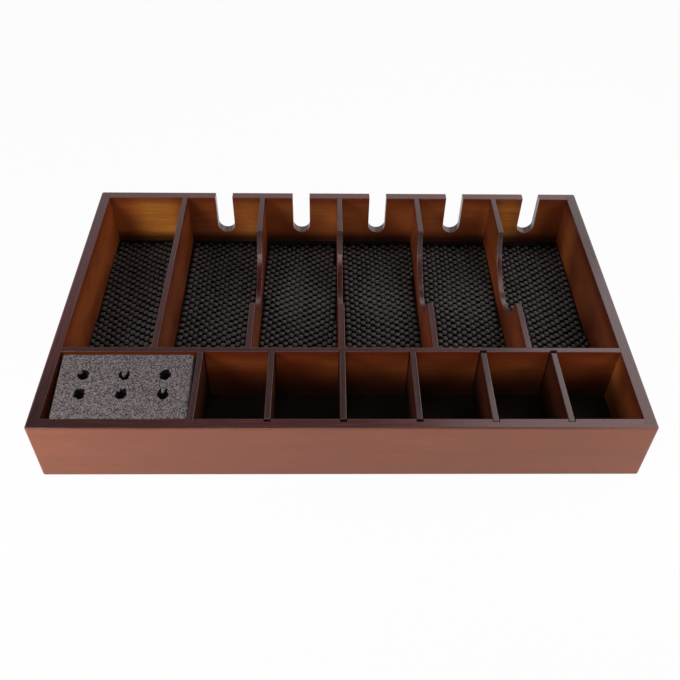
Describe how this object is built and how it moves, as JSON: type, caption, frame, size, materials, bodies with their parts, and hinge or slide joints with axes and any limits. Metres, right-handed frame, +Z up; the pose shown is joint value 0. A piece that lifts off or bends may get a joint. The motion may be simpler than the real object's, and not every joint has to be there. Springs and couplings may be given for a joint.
{
  "type": "shaver holder tray",
  "caption": "Stained wooden organiser tray with deep lined clipper bays, cord slots in the back wall, small lift-out guard dividers and a punched foam block.",
  "frame": {"origin": "middle of the footprint, on the surface that the tray stands on", "axes": "+X to the right along the tray's length, +Y from the front wall to the slotted back wall, +Z up"},
  "size_m": [0.48, 0.303, 0.06],
  "materials": {
    "frame_wood": "dark reddish-brown stain under a satin lacquer",
    "divider_wood": "dark reddish-brown stain under a satin lacquer",
    "floor_ply": "dark stain, satin",
    "liner_vinyl": "soft vinyl-coated woven mesh, matte",
    "foam": "speckled grey foam with a cut, porous surface"
  },
  "bodies": {
    "frame": {"front_wall": "frame_wood", "back_wall": "frame_wood", "left_wall": "frame_wood", "right_wall": "frame_wood", "bottom_panel": "floor_ply", "middle_rail": "divider_wood", "comb_bay_divider": "divider_wood", "clipper_divider_1": "divider_wood", "clipper_divider_2": "divider_wood", "clipper_divider_3": "divider_wood", "clipper_divider_4": "divider_wood"},
    "foam_block": {"foam_block": "foam"},
    "foam_bay_divider": {"foam_bay_divider": "divider_wood"},
    "guard_divider_1": {"guard_divider_1": "divider_wood"},
    "guard_divider_2": {"guard_divider_2": "divider_wood"},
    "guard_divider_3": {"guard_divider_3": "divider_wood"},
    "guard_divider_4": {"guard_divider_4": "divider_wood"},
    "guard_divider_5": {"guard_divider_5": "divider_wood"},
    "comb_bay_liner": {"comb_bay_liner": "liner_vinyl"},
    "clipper_liner_1": {"clipper_liner_1": "liner_vinyl"},
    "clipper_liner_2": {"clipper_liner_2": "liner_vinyl"},
    "clipper_liner_3": {"clipper_liner_3": "liner_vinyl"},
    "clipper_liner_4": {"clipper_liner_4": "liner_vinyl"},
    "clipper_liner_5": {"clipper_liner_5": "liner_vinyl"}
  },
  "joints": [
    {"name": "foam_block_lift", "type": "slide", "parent": "frame", "child": "foam_block", "axis": [0, 0, 1], "range_m": [0, 0.06]},
    {"name": "foam_bay_divider_lift", "type": "slide", "parent": "frame", "child": "foam_bay_divider", "axis": [0, 0, 1], "range_m": [0, 0.06]},
    {"name": "guard_divider_1_lift", "type": "slide", "parent": "frame", "child": "guard_divider_1", "axis": [0, 0, 1], "range_m": [0, 0.06]},
    {"name": "guard_divider_2_lift", "type": "slide", "parent": "frame", "child": "guard_divider_2", "axis": [0, 0, 1], "range_m": [0, 0.06]},
    {"name": "guard_divider_3_lift", "type": "slide", "parent": "frame", "child": "guard_divider_3", "axis": [0, 0, 1], "range_m": [0, 0.06]},
    {"name": "guard_divider_4_lift", "type": "slide", "parent": "frame", "child": "guard_divider_4", "axis": [0, 0, 1], "range_m": [0, 0.06]},
    {"name": "guard_divider_5_lift", "type": "slide", "parent": "frame", "child": "guard_divider_5", "axis": [0, 0, 1], "range_m": [0, 0.06]},
    {"name": "comb_bay_liner_lift", "type": "slide", "parent": "frame", "child": "comb_bay_liner", "axis": [0, 0, 1], "range_m": [0, 0.06]},
    {"name": "clipper_liner_1_lift", "type": "slide", "parent": "frame", "child": "clipper_liner_1", "axis": [0, 0, 1], "range_m": [0, 0.06]},
    {"name": "clipper_liner_2_lift", "type": "slide", "parent": "frame", "child": "clipper_liner_2", "axis": [0, 0, 1], "range_m": [0, 0.06]},
    {"name": "clipper_liner_3_lift", "type": "slide", "parent": "frame", "child": "clipper_liner_3", "axis": [0, 0, 1], "range_m": [0, 0.06]},
    {"name": "clipper_liner_4_lift", "type": "slide", "parent": "frame", "child": "clipper_liner_4", "axis": [0, 0, 1], "range_m": [0, 0.06]},
    {"name": "clipper_liner_5_lift", "type": "slide", "parent": "frame", "child": "clipper_liner_5", "axis": [0, 0, 1], "range_m": [0, 0.06]}
  ]
}
